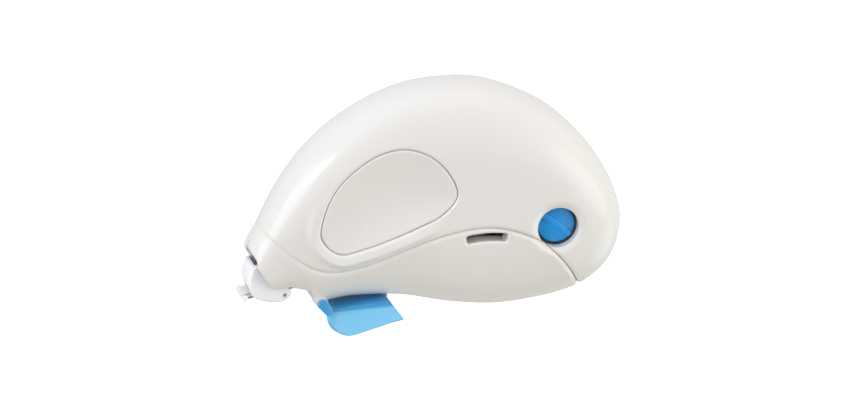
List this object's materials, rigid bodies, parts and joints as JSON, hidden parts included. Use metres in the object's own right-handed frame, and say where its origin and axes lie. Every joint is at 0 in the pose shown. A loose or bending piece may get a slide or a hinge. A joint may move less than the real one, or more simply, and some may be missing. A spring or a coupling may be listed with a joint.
{
  "type": "correction tape roller",
  "caption": "Palm-held correction tape roller: rounded ivory housing with thumb pads, tape window, tension knob, a nib on a translucent holder and a hinged blue tip guard.",
  "frame": {"origin": "a point on the flat back face the roller lies on", "axes": "+X from the tip to the tail along the length, +Y towards the top edge, +Z out of the front face with the knob"},
  "size_m": [0.0814, 0.0529, 0.02],
  "materials": {
    "ivory_gloss": "glossy moulded",
    "ivory_pad": "satin moulded",
    "blue_knob": "glossy moulded",
    "blue_guard": "clear-tinted glossy",
    "milky_tip": "milky translucent",
    "grey_inner": "matt moulded",
    "white_inner": "matt moulded",
    "tape_white": "chalky coating on film",
    "tape_liner": "bare film",
    "steel_pin": "drawn wire"
  },
  "bodies": {
    "housing": {"upper_cover_front": "ivory_gloss", "upper_cover_back": "ivory_gloss", "lower_case_front": "ivory_gloss", "lower_case_back": "ivory_gloss", "grip_pad_front": "ivory_pad", "grip_pad_back": "ivory_pad", "reel_frame": "grey_inner", "supply_retainer": "grey_inner", "tip_holder": "milky_tip", "applicator_nib": "milky_tip", "tip_pin": "steel_pin", "tape_feed_run": "tape_white", "tape_return_run": "tape_liner", "feed_roller_pin": "steel_pin", "return_roller_pin": "steel_pin", "guard_hinge_pin": "steel_pin"},
    "supply_reel": {"supply_gear": "white_inner", "clutch_ring": "steel_pin", "supply_spool": "white_inner", "supply_tape_roll": "tape_white"},
    "takeup_reel": {"takeup_gear": "white_inner", "takeup_spool": "white_inner", "takeup_tape_roll": "tape_liner", "tension_knob": "blue_knob"},
    "feed_guide": {"feed_roller": "grey_inner"},
    "return_guide": {"return_roller": "grey_inner"},
    "guard": {"tip_guard": "blue_guard"}
  },
  "joints": [
    {"name": "supply_spin", "type": "hinge", "parent": "housing", "child": "supply_reel", "pos_m": [-0.00491, 0.00326, 0.01], "axis": [0, 0, 1], "continuous": true},
    {"name": "takeup_spin", "type": "hinge", "parent": "housing", "child": "takeup_reel", "pos_m": [0.0168, -0.0065, 0.01], "axis": [0, 0, 1], "continuous": true},
    {"name": "feed_roller_spin", "type": "hinge", "parent": "housing", "child": "feed_guide", "pos_m": [-0.03782, -0.0147, 0.01], "axis": [0, 0, 1], "continuous": true},
    {"name": "return_roller_spin", "type": "hinge", "parent": "housing", "child": "return_guide", "pos_m": [-0.01342, -0.01719, 0.01], "axis": [0, 0, 1], "continuous": true},
    {"name": "guard_hinge", "type": "hinge", "parent": "housing", "child": "guard", "pos_m": [-0.0328, -0.0205, 0.01], "axis": [0, 0, -1], "range_deg": [0, 168]}
  ],
  "couplings": [
    {"joint": "takeup_spin", "follows": "supply_spin", "ratio": -1.6154},
    {"joint": "feed_roller_spin", "follows": "supply_spin", "ratio": 9.4286},
    {"joint": "return_roller_spin", "follows": "supply_spin", "ratio": 9.4286}
  ]
}
